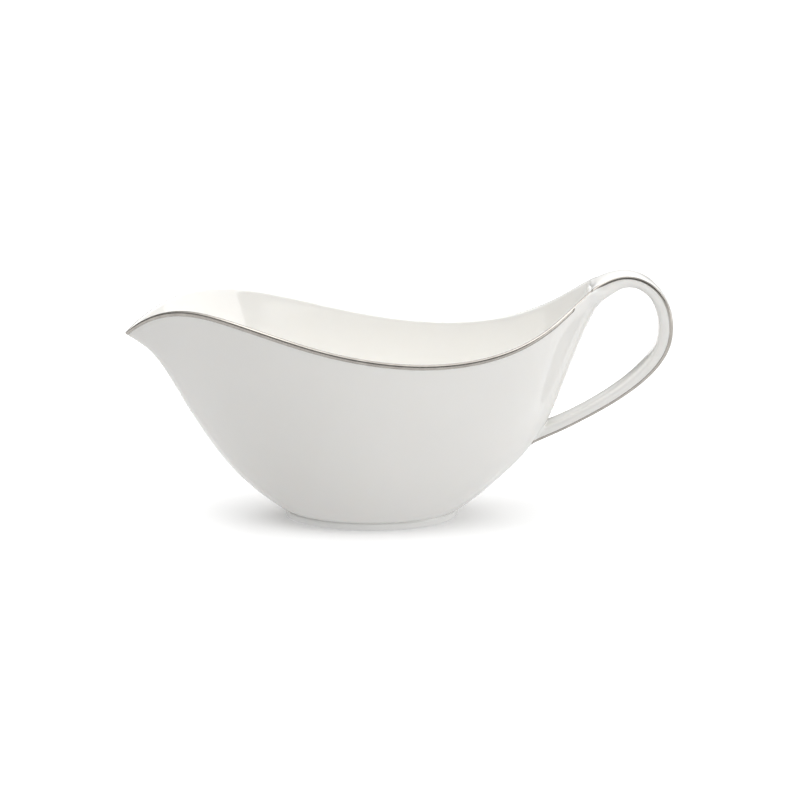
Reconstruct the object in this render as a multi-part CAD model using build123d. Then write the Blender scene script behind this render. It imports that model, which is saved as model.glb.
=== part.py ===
"""Sauce boat in glazed porcelain with a platinum line, in millimetres.

The boat stands on the XY plane with its spout towards -X and its handle towards +X.
Its two sides mirror across Y = 0, and the origin is the centre of the foot.
Every cast surface passes through a grid of closed rings. A ring of the bowl starts at the
spout, runs along the -Y side to the handle and comes back along the +Y side.
"""
from build123d import *
import os
from math import atan, copysign, cos, pi, radians, sin, tan, tanh

# Driving dimensions
foot_half_length = 38.5
foot_half_width = 26.0
foot_height = 3.2
foot_ring_width = 3.6
foot_taper = 12
foot_edge_radius = 0.9

wall = 3.0
floor_thickness = 4.0
lip_drop = 1.3

# The rim narrows into the strap between these two places, where the wall becomes a solid root
root_start = 84.0
root_end = 100.0
root_length = 4.5
root_slope = 0.7
root_trim = 0.6

strap_squareness = 3.5

band_half_width = 0.8
band_thickness = 0.2
band_lift = 0.4
band_start = 28
edge_band_lean = 50

ring_divisions = 18
strap_divisions = 12

# Crest of the rim on the +Y side, from the root of the handle to the tip of the spout
rim_crest = [
    (101.5, 0.0, 107.2),
    (99.6, 6.8, 107.0),
    (93.0, 10.1, 103.2),
    (82.0, 19.8, 93.5),
    (64.0, 30.6, 83.8),
    (28.0, 40.6, 78.3),
    (4.0, 43.4, 80.3),
    (-20.0, 43.4, 85.2),
    (-50.0, 36.5, 93.7),
    (-74.0, 24.0, 98.3),
    (-92.0, 10.0, 94.2),
    (-102.0, 3.8, 88.0),
    (-106.7, 0.0, 83.4),
]

# Profiles of the wall from the foot (0, 0) to the rim (1, 1): share of the way out, share of the way up
outer_front = [(0, 0), (0.17, 0.108), (0.32, 0.224), (0.47, 0.393), (0.62, 0.602), (0.767, 0.83), (0.84, 0.912), (1, 1)]
inner_front = [(0, 0), (0.17, 0.09), (0.334, 0.212), (0.478, 0.385), (0.623, 0.6), (0.77, 0.845), (0.85, 0.935), (1, 1)]
outer_back = [(0, 0), (0.192, 0.096), (0.357, 0.195), (0.522, 0.282), (0.624, 0.397), (0.758, 0.617), (0.836, 0.74),
              (0.917, 0.861), (0.959, 0.905), (0.992, 0.936), (1, 1)]
inner_back = [(0, 0), (0.21, 0.096), (0.375, 0.205), (0.5, 0.285), (0.64, 0.42), (0.733, 0.57), (0.818, 0.7),
              (0.903, 0.836), (1, 1)]
flank = [(0, 0), (0.27, 0.09), (0.5, 0.23), (0.71, 0.44), (0.89, 0.71), (1, 1)]
wall_steps = [0, 0.07, 0.15, 0.24, 0.34, 0.45, 0.56, 0.67, 0.78, 0.87, 0.94, 1]

# Stations along the centre line of the strap, from the rim to inside the back wall: x, z, width, thickness
strap_stations = [
    (99.4, 102.6, 14.6, 5.6),
    (102.4, 104.7, 14.6, 6.6),
    (106.2, 106.3, 14.2, 6.4),
    (111.5, 107.5, 13.6, 5.8),
    (118.2, 105.6, 13.0, 5.6),
    (124.2, 100.5, 12.8, 6.2),
    (127.6, 93.2, 12.6, 6.8),
    (128.6, 84.6, 12.5, 6.8),
    (126.8, 76.2, 12.4, 6.6),
    (120.9, 67.6, 12.3, 6.2),
    (111.6, 59.2, 12.2, 5.6),
    (106.0, 55.25, 12.1, 5.3),
    (100.3, 51.6, 12.0, 5.0),
    (94.8, 48.5, 12.2, 4.9),
    (89.2, 45.6, 12.4, 4.8),
    (79.5, 41.4, 13.4, 5.4),
    (72.0, 38.4, 15.0, 7.0),
]


def smooth_step(value):
    """0 below 0, 1 above 1, and an S curve between."""
    value = min(max(value, 0), 1)
    return value * value * (3 - 2 * value)


def mirrored(half):
    """The closed ring of a half and its mirror image across Y = 0; its seam lies just past the spout."""
    ring = [Vector(p.X, -p.Y, p.Z) for p in half[::-1]] + half[1:-1]
    return ring[1:] + ring[:2]


def skin_solid(rings):
    """A closed solid whose skin passes through the rings, with a flat face on the first and the last."""
    skin = Face.make_surface_from_array_of_points(rings, tol=1e-3, min_deg=3, max_deg=8)
    ends = [edge for edge in skin.edges() if (edge @ 0 - edge @ 1).length < 1e-6]
    return Solid(Shell([skin] + [Face(Wire([end])) for end in ends]))


# The bowl: one skin up the outside, over the lip and down the inside

rim_line = Spline(*rim_crest, *[(x, -y, z) for x, y, z in rim_crest[-2:0:-1]], periodic=True)


def crest_frame(angle):
    """The crest and its outward direction at an angle in plan: 0 at the handle, pi at the spout."""
    share = (1 - cos(angle)) / 4
    tangent = rim_line % share
    return rim_line @ share, Vector(tangent.Y, -tangent.X).normalized()


def beside_crest(angle, distance, drop):
    """A point beside the crest of the rim, outside the boat where distance is positive."""
    crest, outward = crest_frame(angle)
    rootness = smooth_step((crest.X - root_start) / (root_end - root_start))
    root = 0
    if distance > 0:
        distance *= 1 - root_trim * rootness
    elif distance < 0:
        root = root_length * rootness
    return Vector(
        crest.X + distance * outward.X - root,
        max(crest.Y + distance * tanh(crest.Y / 5) * outward.Y, 0),
        crest.Z - drop - root * root_slope,
    )


def wall_ring(profiles, step, inset, base_height):
    """One ring of the wall's face that starts inset from the foot's outline at base_height."""
    front, back, side = profiles
    half = []
    for division in range(ring_divisions + 1):
        angle = pi * division / ring_divisions
        end = front if angle > pi / 2 else back
        sideness = 1 - (1 - sin(angle) ** 2) ** 2
        share = (end @ step) * (1 - sideness) + (side @ step) * sideness
        rim = beside_crest(angle, wall / 2 - inset, lip_drop)
        base = Vector((foot_half_length - inset) * cos(angle), (foot_half_width - inset) * sin(angle), base_height)
        half.append(Vector(
            base.X + (rim.X - base.X) * share.X,
            base.Y + (rim.Y - base.Y) * share.X,
            base.Z + (rim.Z - base.Z) * share.Y,
        ))
    return mirrored(half)


def lip_ring(distance, drop):
    """One ring of the rounded lip."""
    return mirrored([beside_crest(pi * i / ring_divisions, distance, drop) for i in range(ring_divisions + 1)])


def make_bowl():
    """The cast wall and floor, with a solid root where the strap leaves the rim."""
    outer_curves = [Spline(*points) for points in (outer_front, outer_back, flank)]
    inner_curves = [Spline(*points) for points in (inner_front, inner_back, flank)]
    rings = [wall_ring(outer_curves, step, 0, foot_height) for step in wall_steps]
    rings += [lip_ring(0.37 * wall, 0.38 * lip_drop), lip_ring(0, 0), lip_ring(-0.37 * wall, 0.38 * lip_drop)]
    rings += [wall_ring(inner_curves, step, wall, foot_height + floor_thickness) for step in reversed(wall_steps)]
    return skin_solid(rings)


# The foot: a low oval ring with rounded lower edges

def make_foot_ring():
    outline = extrude(Ellipse(foot_half_length, foot_half_width), amount=foot_height, taper=foot_taper)
    hollow = Ellipse(foot_half_length - foot_ring_width, foot_half_width - foot_ring_width)
    ring = outline - extrude(hollow, amount=foot_height)
    return fillet(ring.edges().group_by(Axis.Z)[0], foot_edge_radius)


# The handle: a strap of squarish section that changes width and thickness along its line

strap_line = Spline(*[(x, 0, z) for x, z, width, thickness in strap_stations])


def strap_frames():
    """Each station's centre, its direction towards the outer face, its width and its thickness."""
    for x, z, width, thickness in strap_stations:
        centre = Vector(x, 0, z)
        along = strap_line.tangent_at(centre)
        yield centre, Vector(-along.Z, 0, along.X), width, thickness


def squarish(value):
    """Pushes a cosine or a sine out towards a rounded rectangle."""
    return copysign(abs(value) ** (2 / strap_squareness), value)


def make_strap():
    rings = []
    for centre, out, width, thickness in strap_frames():
        ring = []
        for division in range(2 * strap_divisions + 1):
            angle = pi * division / strap_divisions
            across = Vector(0, width / 2 * squarish(cos(angle)), 0)
            ring.append(centre + across + out * (thickness / 2 * squarish(sin(angle))))
        rings.append(ring)
    return skin_solid(rings)


# The platinum line: a thin flat film over the crest of the lip and over the strap's two outer edges

def film(frames):
    """A flat film; each frame is a point of the glaze, the direction across the line and the way off the glaze."""
    outlines = []
    for point, across, off in frames:
        side = across * band_half_width
        low, high = point + off * band_lift, point + off * (band_lift + band_thickness)
        outlines.append([low - side, low + side, high + side, high - side])
    edges = [Spline(*corners) for corners in zip(*outlines)]
    faces = [Face.make_surface_from_curves(edge, following) for edge, following in zip(edges, edges[1:] + edges[:1])]
    faces += [Face(Wire.make_polygon(outline)) for outline in (outlines[0], outlines[-1])]
    return Solid(Shell(faces))


def make_rim_band():
    """The line on the lip, from one side of the handle's root round the spout to the other."""
    half = []
    for division in range(ring_divisions + 1):
        crest, outward = crest_frame(radians(band_start + (180 - band_start) * division / ring_divisions))
        half.append((crest, outward, Vector(0, 0, 1)))
    other = [(Vector(p.X, -p.Y, p.Z), Vector(o.X, -o.Y, 0), up) for p, o, up in half[-2::-1]]
    return film(half + other)


def make_edge_band(side):
    """The line on one outer edge of the strap; side is 1 for +Y and -1 for -Y."""
    lean = radians(edge_band_lean)
    sideways = Vector(0, side, 0)
    frames = []
    for centre, out, width, thickness in list(strap_frames())[3:-2]:
        # the place on the section where its surface faces the leaning way
        angle = atan((tan(lean) * thickness / width) ** (strap_squareness / (2 * strap_squareness - 2)))
        edge = centre + sideways * (width / 2 * squarish(cos(angle))) + out * (thickness / 2 * squarish(sin(angle)))
        frames.append((edge, sideways * sin(lean) - out * cos(lean), sideways * cos(lean) + out * sin(lean)))
    return film(frames)


os.makedirs("parts", exist_ok=True)

bowl = make_bowl()
nodes = {
    "bowl": bowl,
    "foot_ring": make_foot_ring(),
    "handle": (make_strap() - bowl).solids().sort_by(SortBy.VOLUME)[-1],
    "rim_band": make_rim_band(),
    "handle_band_left": make_edge_band(-1),
    "handle_band_right": make_edge_band(1),
}
for name, solid in nodes.items():
    export_step(solid, f"parts/{name}.step")
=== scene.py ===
import bmesh
import bpy
from math import atan2, cos, pi, radians, sin, tanh
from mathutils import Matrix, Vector
from mathutils.bvhtree import BVHTree


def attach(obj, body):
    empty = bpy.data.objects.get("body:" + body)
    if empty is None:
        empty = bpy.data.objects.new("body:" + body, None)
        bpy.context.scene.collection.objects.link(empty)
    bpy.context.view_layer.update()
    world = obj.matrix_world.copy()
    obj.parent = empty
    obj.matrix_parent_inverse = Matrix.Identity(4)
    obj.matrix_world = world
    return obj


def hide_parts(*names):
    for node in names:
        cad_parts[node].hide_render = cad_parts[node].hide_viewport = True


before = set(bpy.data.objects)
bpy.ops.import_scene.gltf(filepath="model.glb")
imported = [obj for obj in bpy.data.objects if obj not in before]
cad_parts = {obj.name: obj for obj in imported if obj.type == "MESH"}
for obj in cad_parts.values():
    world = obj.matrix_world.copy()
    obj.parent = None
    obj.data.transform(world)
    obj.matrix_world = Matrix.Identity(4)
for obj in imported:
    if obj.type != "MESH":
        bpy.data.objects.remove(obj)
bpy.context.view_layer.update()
mm = 0.001


# lines and profiles, all in millimetres until a vertex is placed

def throughPoints(points, share, closed=False):
    # a smooth line through the points, read at a share of its length
    count = len(points)
    points = [Vector(p) for p in points]
    spans = count if closed else count - 1
    marks = [0.0]
    for i in range(spans):
        marks.append(marks[-1] + (points[(i + 1) % count] - points[i]).length)
    where = min(max(share, 0.0), 1.0) * marks[-1]
    span = max(i for i in range(spans) if marks[i] <= where or i == 0)

    def slope(i):
        if not closed and i in (0, count - 1):
            a, b = (0, 1) if i == 0 else (count - 2, count - 1)
            return (points[b] - points[a]) / (marks[b] - marks[a])
        before, here, after = points[(i - 1) % count], points[i % count], points[(i + 1) % count]
        lead, follow = (here - before).length, (after - here).length
        return ((here - before) / lead * follow + (after - here) / follow * lead) / (lead + follow)

    length = marks[span + 1] - marks[span]
    t = (where - marks[span]) / length
    a, b = points[span], points[(span + 1) % count]
    return (a * (2 * t**3 - 3 * t**2 + 1) + slope(span) * length * (t**3 - 2 * t**2 + t)
            + b * (3 * t**2 - 2 * t**3) + slope(span + 1) * length * (t**3 - t**2))


def smoothStep(value):
    value = min(max(value, 0.0), 1.0)
    return value * value * (3 - 2 * value)


boat = {
    "columns": 36,          # round the rim, column 0 at the handle and 18 at the spout
    "rootColumns": 3,       # the strap leaves the rim between columns -3 and 3
    "footLength": 38.5,
    "footWidth": 26.0,
    "footHeight": 3.2,
    "floorHeight": 7.2,
    "wallAtFloor": 3.4,
    "lipHalf": 1.15,
    "lipDrop": 1.15,
    "lipTaper": {3: 0.66, 4: 0.66, 5: 0.4, 6: 0.18},           # where the line narrows on its way to the handle
    "lineHalf": 0.85,
    "lineDrop": 0.42,
    # half of the rim's crest, from the handle to the tip of the spout
    "crest": [
        (107.0, 0.0, 109.8), (104.5, 6.8, 109.3), (94.0, 9.9, 103.8), (82.0, 19.8, 93.5), (64.0, 30.6, 83.8),
        (28.0, 40.6, 78.3), (4.0, 43.4, 80.3), (-20.0, 43.4, 85.2), (-50.0, 36.5, 93.7), (-74.0, 24.0, 98.3),
        (-92.0, 10.0, 94.2), (-102.0, 3.8, 88.0), (-106.7, 0.0, 83.4),
    ],
    # the wall from the foot to the rim: share of the way out, share of the way up
    "outerFront": [(0, 0), (0.17, 0.108), (0.32, 0.224), (0.47, 0.393), (0.62, 0.602), (0.767, 0.83),
                   (0.84, 0.912), (1, 1)],
    "innerFront": [(0, 0), (0.17, 0.09), (0.334, 0.212), (0.478, 0.385), (0.623, 0.6), (0.77, 0.845),
                   (0.85, 0.935), (1, 1)],
    "outerBack": [(0, 0), (0.174, 0.094), (0.324, 0.19), (0.474, 0.285), (0.566, 0.39), (0.688, 0.606),
                  (0.832, 0.845), (0.9, 0.913), (0.975, 0.945), (1, 1)],
    "innerBack": [(0, 0), (0.21, 0.096), (0.375, 0.205), (0.5, 0.285), (0.64, 0.42), (0.733, 0.57),
                  (0.818, 0.7), (0.903, 0.836), (1, 1)],
    "flank": [(0, 0), (0.27, 0.09), (0.5, 0.23), (0.71, 0.44), (0.89, 0.71), (1, 1)],
    "outerSteps": [0.035, 0.08, 0.15, 0.24, 0.34, 0.45, 0.56, 0.67, 0.78, 0.87, 0.94, 1],
    "innerSteps": [0.97, 0.9, 0.8, 0.69, 0.58, 0.47, 0.36, 0.26, 0.17, 0.09, 0.03],
    "rootReach": {0: 0.915, 1: 0.925, 2: 0.96},   # how far up the wall the strap's underside starts
}


def crestAt(angle):
    line = boat["crest"] + [(x, -y, z) for x, y, z in boat["crest"][-2:0:-1]]
    share = (1 - cos(angle)) / 4
    here = throughPoints(line, share, closed=True)
    ahead = throughPoints(line, min(share + 0.001, 0.5), closed=True)
    behind = throughPoints(line, max(share - 0.001, 0), closed=True)
    along = ahead - behind
    outward = Vector((along.y, -along.x, 0)).normalized()
    if angle < 0.01:
        outward = Vector((1, 0, 0))
    if angle > pi - 0.01:
        outward = Vector((-1, 0, 0))
    return here, outward


def besideCrest(angle, distance, drop):
    crest, outward = crestAt(angle)
    sideways = distance * tanh(crest.y / 4) * outward.y
    return Vector((crest.x + distance * outward.x, crest.y + sideways, crest.z - drop))


def rootLine(column, inward, drop):
    # across the top of the strap's root, between the two ends of the rim
    corner = crestAt(2 * pi * boat["rootColumns"] / boat["columns"])[0]
    share = column / boat["rootColumns"]
    sag = 1 - share * share
    back = inward * (1 + 1.2 * sag)
    drop *= 1 + 2.2 * sag
    return Vector((corner.x + 1.0 * sag - back, corner.y * share * (1 - back / 60), corner.z + 0.3 * sag - drop))


def wallPoint(column, step, inside):
    angle = 2 * pi * column / boat["columns"]
    root = column < boat["rootColumns"]
    if inside:
        front, back, inset, baseHeight = boat["innerFront"], boat["innerBack"], boat["wallAtFloor"], boat["floorHeight"]
        rim = rootLine(column, boat["lipHalf"] + 0.2, boat["lipDrop"]) if root else besideCrest(angle, -boat["lipHalf"], boat["lipDrop"])
    else:
        front, back, inset, baseHeight = boat["outerFront"], boat["outerBack"], 0, boat["footHeight"]
        rim = besideCrest(angle, boat["lipHalf"], boat["lipDrop"] - boat["lipTaper"].get(column, 0))
        if step < 1:
            step *= boat["rootReach"].get(column, 1)
    end = throughPoints(front if angle > pi / 2 else back, step)
    side = throughPoints(boat["flank"], step)
    sideness = 1 - (1 - sin(angle) ** 2) ** 2
    share = end * (1 - sideness) + side * sideness
    base = Vector(((boat["footLength"] - inset) * cos(angle), (boat["footWidth"] - inset) * sin(angle), baseHeight))
    return Vector((base.x + (rim.x - base.x) * share.x, base.y + (rim.y - base.y) * share.x,
                   base.z + (rim.z - base.z) * share.y))


def lipPoint(column, distance, drop):
    if column < boat["rootColumns"] and distance <= 0:
        return rootLine(column, -distance, drop)
    return besideCrest(2 * pi * column / boat["columns"], distance, drop)


def footPoint(column, inset, height):
    angle = 2 * pi * column / boat["columns"]
    return Vector(((boat["footLength"] - inset) * cos(angle), (boat["footWidth"] - inset) * sin(angle), height))


# rows of the skin from the underside, up the outside, over the lip and down to the floor
rows = [lambda c: footPoint(c, 4.6, 3.3), lambda c: footPoint(c, 0.75, 3.2), lambda c: footPoint(c, 0.5, 3.6)]
rows += [lambda c, s=s: wallPoint(c, s, False) for s in boat["outerSteps"]]
rootRow = len(rows) - 2                      # the row where the strap's underside leaves the wall
rows += [lambda c: lipPoint(c, boat["lineHalf"], boat["lineDrop"]), lambda c: lipPoint(c, 0, 0),
         lambda c: lipPoint(c, -boat["lineHalf"], boat["lineDrop"])]
crestRow = len(rows) - 2
rows += [lambda c, s=s: wallPoint(c, s, True) for s in [1] + boat["innerSteps"]]
rows += [lambda c: footPoint(c, boat["wallAtFloor"] + 5.5, boat["floorHeight"] - 0.1)]


def columnNumber(index):
    # -17 to 18, so that the two sides mirror
    return index if index <= boat["columns"] // 2 else index - boat["columns"]


def mirroredPoint(column, pointAt):
    point = pointAt(abs(column))
    return Vector((point.x, point.y if column >= 0 else -point.y, point.z)) * mm


def deselectAll():
    if bpy.context.object and bpy.context.object.mode != "OBJECT":
        bpy.ops.object.mode_set(mode="OBJECT")
    bpy.ops.object.select_all(action="DESELECT")


def editing(piece):
    deselectAll()
    piece.select_set(True)
    bpy.context.view_layer.objects.active = piece
    bpy.ops.object.mode_set(mode="EDIT")
    bpy.ops.mesh.select_mode(type="VERT")
    return bmesh.from_edit_mesh(piece.data)


def selectOnly(mesh, elements):
    for face in mesh.faces:
        face.select = False
    for edge in mesh.edges:
        edge.select = False
    for vertex in mesh.verts:
        vertex.select = False
    for element in elements:
        element.select = True
    mesh.select_flush(True)


def placeSelected(piece, pointOf):
    mesh = bmesh.from_edit_mesh(piece.data)
    column, row = mesh.verts.layers.int["column"], mesh.verts.layers.int["row"]
    for vertex in mesh.verts:
        if vertex.select:
            vertex.co = pointOf(vertex, vertex[column], vertex[row])
    bmesh.update_edit_mesh(piece.data)


def makeSkinCage():
    deselectAll()
    bpy.ops.mesh.primitive_circle_add(vertices=boat["columns"], radius=0.03)
    cage = bpy.context.object
    cage.name = "skinCage"
    mesh = editing(cage)
    column = mesh.verts.layers.int.new("column")
    row = mesh.verts.layers.int.new("row")
    mesh.verts.ensure_lookup_table()
    order = sorted(mesh.verts, key=lambda v: (atan2(v.co.y, v.co.x) + 1e-4) % (2 * pi))
    for index, vertex in enumerate(order):
        vertex[column] = columnNumber(index)
        vertex[row] = 0
    bmesh.update_edit_mesh(cage.data)
    bpy.ops.mesh.select_all(action="SELECT")
    placeSelected(cage, lambda v, c, r: mirroredPoint(c, rows[0]))
    for number in range(1, len(rows)):
        bpy.ops.mesh.extrude_edges_indiv()
        mesh = bmesh.from_edit_mesh(cage.data)
        row = mesh.verts.layers.int["row"]
        for vertex in mesh.verts:
            if vertex.select:
                vertex[row] = number
        placeSelected(cage, lambda v, c, r: mirroredPoint(c, rows[r]))
    fillSelectedLoop(cage, len(rows))
    mesh = bmesh.from_edit_mesh(cage.data)
    row = mesh.verts.layers.int["row"]
    selectOnly(mesh, [v for v in mesh.verts if v[row] == 0])
    fillSelectedLoop(cage, -1)
    return cage


def fillSelectedLoop(cage, number):
    # closes the selected ring with a grid, whose new points get their own row number
    mesh = bmesh.from_edit_mesh(cage.data)
    mesh.verts.index_update()
    before = len(mesh.verts)
    bpy.ops.mesh.fill_grid(span=boat["columns"] // 4)
    mesh = bmesh.from_edit_mesh(cage.data)
    mesh.verts.ensure_lookup_table()
    row = mesh.verts.layers.int["row"]
    for index in range(before, len(mesh.verts)):
        mesh.verts[index][row] = number
    bmesh.update_edit_mesh(cage.data)


def inSpan(vertex, column, row, lowRow, highRow):
    return abs(vertex[column]) <= boat["rootColumns"] and lowRow <= vertex[row] <= highRow


print("drawing the skin of the bowl")
cage = makeSkinCage()
smooth = cage.modifiers.new("smooth", "SUBSURF")
smooth.levels = smooth.render_levels = 2
bpy.ops.object.mode_set(mode="OBJECT")
wallTree = BVHTree.FromObject(cage, bpy.context.evaluated_depsgraph_get())
cage.modifiers.remove(smooth)


# the handle grows out of the gap in the back of the rim
handle = {
    # across and out for each column of the underside and of the top, as shares of half the width and thickness
    "across": [-0.94, -0.7, -0.35, 0, 0.35, 0.7, 0.94],
    "bulge": [0.84, 0.98, 1.02, 1.03, 1.02, 0.98, 0.84],
    "sideLow": (1.0, -0.38),
    "sideHigh": [(0.99, 0.62), (1.0, 0.55), (1.0, 0.48), (1.0, 0.44)],
    # x, z, width, thickness along the centre line
    "stations": [
        (100.6, 103.3, 17.4, 8.2), (105.8, 106.3, 15.2, 7.1), (111.7, 107.6, 13.9, 6.1), (118.4, 105.8, 13.2, 5.8),
        (124.4, 100.7, 12.9, 6.4), (127.9, 93.2, 12.8, 7.0), (128.9, 84.6, 12.7, 7.0), (127.2, 76.0, 12.6, 6.8),
        (121.2, 67.4, 12.5, 6.3), (111.8, 59.0, 12.4, 5.7), (100.6, 51.5, 12.2, 5.2), (90.4, 45.9, 12.4, 5.0),
        (84.2, 42.7, 12.9, 5.2),
    ],
    "landing": (74.0, 38.2),
    "midHeight": 75,
    "flare": [(2.4, 0.2, 0.0), (0.7, 0.9, 0.0), (0.0, 2.1, 0.15), (-1.6, 2.6, -1.2)],
}


def strapFrame(number):
    line = [(x, z) for x, z, width, thickness in handle["stations"]] + [handle["landing"]]
    ahead, behind = line[min(number + 1, len(line) - 1)], line[max(number - 1, 0)]
    along = Vector((ahead[0] - behind[0], 0, ahead[1] - behind[1])).normalized()
    return Vector((line[number][0], 0, line[number][1])), along, Vector((-along.z, 0, along.x))


def sectionPoint(number, column, row):
    centre, along, out = strapFrame(number)
    width, thickness = handle["stations"][number][2:]
    if row in (rootRow, crestRow):
        across, height = handle["across"][column + 3], handle["bulge"][column + 3] * (1 if row == crestRow else -1)
    else:
        share = handle["sideLow"] if row == rootRow + 1 else handle["sideHigh"][min(number, 3)]
        across, height = share[0] * (1 if column > 0 else -1), share[1]
    return centre + Vector((0, across * width / 2, 0)) + out * (height * thickness / 2)


def landingPoint(column, row, before, spread, lift):
    # where the strap's surface meets the wall, moved back along the strap, off its axis and off the wall
    last = len(handle["stations"]) - 1
    start = sectionPoint(last, column, row)
    centre, along, out = strapFrame(last)
    aim = Vector((handle["landing"][0] - handle["stations"][last][0], 0,
                  handle["landing"][1] - handle["stations"][last][1])).normalized()
    hit, normal, index, distance = wallTree.ray_cast(start * mm, aim)
    away = start - centre
    away = (away - normal * away.dot(normal)).normalized()
    return hit / mm - aim * before + away * spread + normal * lift


def markSelected(cage):
    mesh = bmesh.from_edit_mesh(cage.data)
    grown = mesh.verts.layers.int["grown"]
    for vertex in mesh.verts:
        if vertex.select:
            vertex[grown] = 1
    bmesh.update_edit_mesh(cage.data)


def growStrap(cage):
    mesh = editing(cage)
    mesh.verts.layers.int.new("grown")
    bpy.ops.mesh.select_mode(type="FACE")
    column, row = mesh.verts.layers.int["column"], mesh.verts.layers.int["row"]
    selectOnly(mesh, [f for f in mesh.faces if all(inSpan(v, column, row, rootRow, crestRow) for v in f.verts)])
    bmesh.update_edit_mesh(cage.data)
    bpy.ops.mesh.delete(type="FACE")
    bpy.ops.mesh.select_mode(type="EDGE")
    mesh = bmesh.from_edit_mesh(cage.data)
    selectOnly(mesh, [e for e in mesh.edges if e.is_boundary])
    bmesh.update_edit_mesh(cage.data)
    for number in range(len(handle["stations"])):
        bpy.ops.mesh.extrude_edges_indiv()
        placeSelected(cage, lambda v, c, r: sectionPoint(number, c, r) * mm)
        markSelected(cage)
    for before, spread, lift in handle["flare"]:
        bpy.ops.mesh.extrude_edges_indiv()
        placeSelected(cage, lambda v, c, r: landingPoint(c, r, before, spread, lift) * mm)
        markSelected(cage)
    bpy.ops.mesh.select_all(action="SELECT")
    bpy.ops.mesh.normals_make_consistent(inside=False)


print("growing the strap")
growStrap(cage)

parts = {"bowl": 0, "handle": 1, "rimBand": 2, "edgeBandRight": 3, "edgeBandLeft": 4}
mesh = bmesh.from_edit_mesh(cage.data)
column, row, grown = (mesh.verts.layers.int[name] for name in ("column", "row", "grown"))
for face in mesh.faces:
    numbers = [v[row] for v in face.verts]
    columns = [v[column] for v in face.verts]
    if any(v[grown] for v in face.verts):
        corner = min(numbers) == crestRow - 1 and max(numbers) == crestRow
        side = 3 if min(columns) > 0 else 4
        face.material_index = side if corner else parts["handle"]
    elif min(numbers) >= crestRow - 2 and max(numbers) <= crestRow:
        fades = min(numbers) == crestRow - 2 and max(abs(c) for c in columns) <= boat["rootColumns"] + 1
        face.material_index = parts["bowl"] if fades else parts["rimBand"]
    else:
        face.material_index = parts["bowl"]
bmesh.update_edit_mesh(cage.data)
bpy.ops.object.mode_set(mode="OBJECT")
for name in parts:
    cage.data.materials.append(bpy.data.materials.new(name))

deselectAll()
cage.select_set(True)
bpy.context.view_layer.objects.active = cage
bpy.ops.object.modifier_add(type="SUBSURF")
cage.modifiers[-1].levels = cage.modifiers[-1].render_levels = 3
bpy.ops.object.modifier_apply(modifier=cage.modifiers[-1].name)
bpy.ops.object.shade_smooth()


def sinkOpenEdges(piece):
    # a collar turned in from each open end, so that its cover stays inside the porcelain
    bpy.ops.mesh.select_mode(type="EDGE")
    mesh = bmesh.from_edit_mesh(piece.data)
    selectOnly(mesh, [e for e in mesh.edges if e.is_boundary])
    bmesh.update_edit_mesh(piece.data)
    bpy.ops.mesh.extrude_edges_indiv()
    mesh = bmesh.from_edit_mesh(piece.data)
    for isRoot in (True, False):
        end = [v for v in mesh.verts if v.select and (v.co.z > handle["midHeight"] * mm) == isRoot]
        middle = sum((v.co for v in end), Vector()) / max(len(end), 1)
        for vertex in end:
            vertex.co = vertex.co.lerp(middle, 0.35)
    bmesh.update_edit_mesh(piece.data)


def pieceOf(name, kept, closeHoles):
    # a copy of the skin with only the kept parts of it
    deselectAll()
    cage.select_set(True)
    bpy.context.view_layer.objects.active = cage
    bpy.ops.object.duplicate()
    piece = bpy.context.object
    piece.name = piece.data.name = name
    mesh = editing(piece)
    bpy.ops.mesh.select_mode(type="FACE")
    selectOnly(mesh, [f for f in mesh.faces if f.material_index not in kept])
    bmesh.update_edit_mesh(piece.data)
    bpy.ops.mesh.delete(type="FACE")
    if closeHoles:
        sinkOpenEdges(piece)
        bpy.ops.mesh.select_all(action="SELECT")
        bpy.ops.mesh.fill_holes(sides=0)
        bpy.ops.mesh.select_all(action="DESELECT")
    bpy.ops.object.mode_set(mode="OBJECT")
    return piece


def applyModifier(piece, kind, **settings):
    deselectAll()
    piece.select_set(True)
    bpy.context.view_layer.objects.active = piece
    bpy.ops.object.modifier_add(type=kind)
    modifier = piece.modifiers[-1]
    for key, value in settings.items():
        setattr(modifier, key, value)
    bpy.ops.object.modifier_apply(modifier=modifier.name)


print("parting the bowl, the handle and the lines")
bowlPiece = pieceOf("bowl", (0, 2), True)
handlePiece = pieceOf("handle", (1, 3, 4), True)
for piece in (bowlPiece, handlePiece):
    applyModifier(piece, "DATA_TRANSFER", object=cage, use_loop_data=True, data_types_loops={"CUSTOM_NORMAL"},
                  loop_mapping="NEAREST_POLYNOR")
bands = {
    "rimBand": pieceOf("rimBand", (2,), False),
    "edgeBandRight": pieceOf("edgeBandRight", (3,), False),
    "edgeBandLeft": pieceOf("edgeBandLeft", (4,), False),
}
for band in bands.values():
    applyModifier(band, "SOLIDIFY", thickness=0.14 * mm, offset=0.2)
bpy.data.objects.remove(cage)


# the foot
foot = {
    # inset from the outline and height, round the section
    "section": [(0.55, 4.0), (0.12, 3.3), (0.0, 2.5), (0.25, 1.2), (0.6, 0.35), (1.15, 0.0), (2.3, 0.0), (2.9, 0.35),
                (3.3, 1.2), (3.6, 2.5), (3.8, 4.0)],
}


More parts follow.
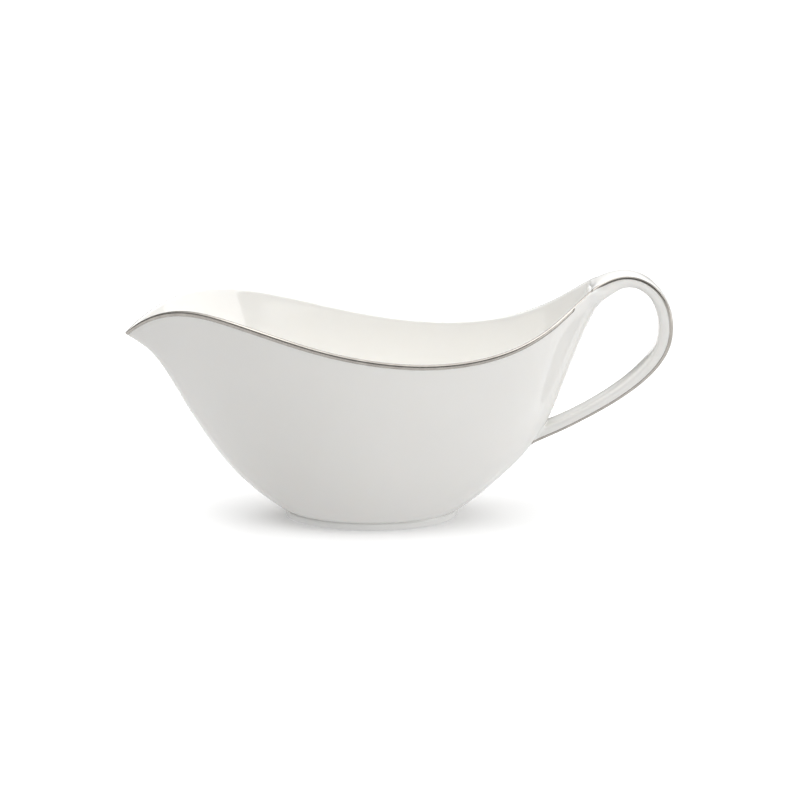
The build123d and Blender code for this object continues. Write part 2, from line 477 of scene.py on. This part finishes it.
def makeFoot():
    deselectAll()
    bpy.ops.mesh.primitive_circle_add(vertices=boat["columns"], radius=0.03)
    ring = bpy.context.object
    ring.name = ring.data.name = "footRing"
    mesh = editing(ring)
    column = mesh.verts.layers.int.new("column")
    mesh.verts.layers.int.new("row")
    for index, vertex in enumerate(sorted(mesh.verts, key=lambda v: (atan2(v.co.y, v.co.x) + 1e-4) % (2 * pi))):
        vertex[column] = columnNumber(index)
    bmesh.update_edit_mesh(ring.data)
    bpy.ops.mesh.select_all(action="SELECT")
    for number, (inset, height) in enumerate(foot["section"]):
        if number:
            bpy.ops.mesh.extrude_edges_indiv()
        placeSelected(ring, lambda v, c, r: mirroredPoint(c, lambda k: footPoint(k, inset, height)))
    mesh = bmesh.from_edit_mesh(ring.data)
    bpy.ops.mesh.select_mode(type="EDGE")
    mesh = bmesh.from_edit_mesh(ring.data)
    selectOnly(mesh, [e for e in mesh.edges if e.is_boundary])
    bmesh.update_edit_mesh(ring.data)
    bpy.ops.mesh.bridge_edge_loops()
    bpy.ops.mesh.select_all(action="SELECT")
    bpy.ops.mesh.normals_make_consistent(inside=False)
    bpy.ops.object.mode_set(mode="OBJECT")
    applyModifier(ring, "SUBSURF", levels=3, render_levels=3)
    bpy.ops.object.shade_smooth()
    return ring


print("turning the foot")
footPiece = makeFoot()


# finishes
def newMaterial(name):
    material = bpy.data.materials.new(name)
    material.use_nodes = True
    nodes, links = material.node_tree.nodes, material.node_tree.links
    return material, nodes, links, nodes["Principled BSDF"]


def noiseRamp(nodes, links, scale, detail, low, high):
    place = nodes.new("ShaderNodeTexCoord")
    noise = nodes.new("ShaderNodeTexNoise")
    noise.inputs["Scale"].default_value = scale
    noise.inputs["Detail"].default_value = detail
    ramp = nodes.new("ShaderNodeMapRange")
    ramp.inputs["From Min"].default_value = 0.3
    ramp.inputs["From Max"].default_value = 0.7
    ramp.inputs["To Min"].default_value = low
    ramp.inputs["To Max"].default_value = high
    links.new(place.outputs["Object"], noise.inputs["Vector"])
    links.new(noise.outputs["Fac"], ramp.inputs["Value"])
    return noise.outputs["Fac"], ramp.outputs["Result"]


def glazedPorcelain():
    material, nodes, links, shader = newMaterial("glazedPorcelain")
    shader.inputs["IOR"].default_value = 1.52
    shader.inputs["Coat Weight"].default_value = 0.5
    shader.inputs["Coat Roughness"].default_value = 0.03
    shader.inputs["Subsurface Weight"].default_value = 0.12
    shader.inputs["Subsurface Radius"].default_value = (0.004, 0.0035, 0.003)
    shader.inputs["Subsurface Scale"].default_value = 1.0
    tone, blend = noiseRamp(nodes, links, 18.0, 3.0, 0.0, 1.0)
    mix = nodes.new("ShaderNodeMix")
    mix.data_type = "RGBA"
    mix.inputs["A"].default_value = (0.865, 0.855, 0.825, 1)
    mix.inputs["B"].default_value = (0.885, 0.875, 0.85, 1)
    links.new(blend, mix.inputs["Factor"])
    links.new(mix.outputs["Result"], shader.inputs["Base Color"])
    rough, value = noiseRamp(nodes, links, 90.0, 4.0, 0.05, 0.1)
    links.new(value, shader.inputs["Roughness"])
    ripple, value = noiseRamp(nodes, links, 40.0, 2.0, 0.0, 1.0)
    bump = nodes.new("ShaderNodeBump")
    bump.inputs["Strength"].default_value = 0.02
    bump.inputs["Distance"].default_value = 0.0006
    links.new(ripple, bump.inputs["Height"])
    links.new(bump.outputs["Normal"], shader.inputs["Normal"])
    return material


def platinum():
    material, nodes, links, shader = newMaterial("platinumLine")
    shader.inputs["Metallic"].default_value = 1.0
    wear, blend = noiseRamp(nodes, links, 260.0, 5.0, 0.0, 1.0)
    mix = nodes.new("ShaderNodeMix")
    mix.data_type = "RGBA"
    mix.inputs["A"].default_value = (0.27, 0.253, 0.233, 1)
    mix.inputs["B"].default_value = (0.34, 0.322, 0.297, 1)
    links.new(blend, mix.inputs["Factor"])
    links.new(mix.outputs["Result"], shader.inputs["Base Color"])
    rough, value = noiseRamp(nodes, links, 400.0, 4.0, 0.14, 0.26)
    links.new(value, shader.inputs["Roughness"])
    return material


def footPorcelain():
    # glazed sides and a bare edge underneath
    material, nodes, links, shader = newMaterial("footPorcelain")
    place = nodes.new("ShaderNodeTexCoord")
    split = nodes.new("ShaderNodeSeparateXYZ")
    links.new(place.outputs["Object"], split.inputs["Vector"])
    edge = nodes.new("ShaderNodeMapRange")
    edge.inputs["From Min"].default_value = 0.25 * mm
    edge.inputs["From Max"].default_value = 0.6 * mm
    links.new(split.outputs["Z"], edge.inputs["Value"])
    grain, blend = noiseRamp(nodes, links, 900.0, 6.0, 0.72, 0.86)
    bare = nodes.new("ShaderNodeCombineColor")
    for socket in ("Red", "Green", "Blue"):
        links.new(blend, bare.inputs[socket])
    mix = nodes.new("ShaderNodeMix")
    mix.data_type = "RGBA"
    mix.inputs["B"].default_value = (0.85, 0.845, 0.825, 1)
    links.new(edge.outputs["Result"], mix.inputs["Factor"])
    links.new(bare.outputs["Color"], mix.inputs["A"])
    links.new(mix.outputs["Result"], shader.inputs["Base Color"])
    rough = nodes.new("ShaderNodeMapRange")
    rough.inputs["To Min"].default_value = 0.75
    rough.inputs["To Max"].default_value = 0.08
    links.new(edge.outputs["Result"], rough.inputs["Value"])
    links.new(rough.outputs["Result"], shader.inputs["Roughness"])
    return material


print("glazing and lining")
glaze, metal, bareFoot = glazedPorcelain(), platinum(), footPorcelain()


def finishPiece(piece, material, slotName, *nodes):
    piece.data.materials.clear()
    piece.data.materials.append(material)
    for face in piece.data.polygons:
        face.material_index = 0
    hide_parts(*nodes)
    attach(piece, "root")


finishPiece(bowlPiece, glaze, "porcelain", "bowl")
finishPiece(handlePiece, glaze, "porcelain", "handle")
finishPiece(footPiece, bareFoot, "foot_porcelain", "foot_ring")
finishPiece(bands["rimBand"], metal, "platinum", "rim_band")
finishPiece(bands["edgeBandLeft"], metal, "platinum", "handle_band_left")
finishPiece(bands["edgeBandRight"], metal, "platinum", "handle_band_right")


# the table, the light and the camera
studio = {
    "target": (12.6, 0, 52.5),
    "distance": 1300,
    "elevation": 15,
    "lens": 133.1,
    # name, place, size, power
    "lamps": [
        ("topLamp", (-150, -60, 950), 500, 1.4),
        ("rightLamp", (900, -350, 300), 600, 2.6),
        ("backLamp", (150, 900, 500), 700, 0.8),
    ],
    # how bright the room is overhead; it falls off towards the horizon
        "overhead": 2.6,
    "bounce": 0.78,
}


def aim(item, target):
    item.rotation_euler = (target - item.location).to_track_quat("-Z", "Y").to_euler()


print("lighting the table")
target = Vector(studio["target"]) * mm
bpy.ops.mesh.primitive_plane_add(size=24)
floor = bpy.context.object
floor.name = "floor"
floorMaterial, nodes, links, shader = newMaterial("paleTable")
tone, blend = noiseRamp(nodes, links, 3.0, 2.0, 0.965, 0.975)
white = nodes.new("ShaderNodeCombineColor")
for socket in ("Red", "Green", "Blue"):
    links.new(blend, white.inputs[socket])
links.new(white.outputs["Color"], shader.inputs["Base Color"])
shader.inputs["Roughness"].default_value = 0.8
floor.data.materials.append(floorMaterial)
floor.visible_diffuse = False

for name, place, size, power in studio["lamps"]:
    bpy.ops.object.light_add(type="AREA", location=Vector(place) * mm)
    lamp = bpy.context.object
    lamp.name = name
    lamp.data.size = size * mm
    lamp.data.energy = power
    aim(lamp, target)

world = bpy.data.worlds.new("room")
world.use_nodes = True
nodes, links = world.node_tree.nodes, world.node_tree.links
nodes["Background"].inputs["Color"].default_value = (1, 1, 1, 1)
direction = nodes.new("ShaderNodeTexCoord")
height = nodes.new("ShaderNodeSeparateXYZ")
links.new(direction.outputs["Generated"], height.inputs["Vector"])


def worked(operation, first, second):
    step = nodes.new("ShaderNodeMath")
    step.operation = operation
    links.new(first, step.inputs[0])
    if isinstance(second, float):
        step.inputs[1].default_value = second
    else:
        links.new(second, step.inputs[1])
    return step.outputs["Value"]


above = worked("MAXIMUM", height.outputs["Z"], 0.0)
overhead = worked("MULTIPLY", worked("POWER", above, 2.0), studio["overhead"])
bounce = worked("MULTIPLY", worked("LESS_THAN", height.outputs["Z"], 0.0), studio["bounce"])
links.new(worked("ADD", overhead, bounce), nodes["Background"].inputs["Strength"])
bpy.context.scene.world = world
bpy.context.scene.view_settings.view_transform = "Standard"

elevation = radians(studio["elevation"])
bpy.ops.object.camera_add(location=target + Vector((0, -cos(elevation), sin(elevation))) * studio["distance"] * mm)
camera = bpy.context.object
camera.data.lens = studio["lens"]
camera.data.sensor_width = 36
aim(camera, target)
bpy.context.scene.camera = camera
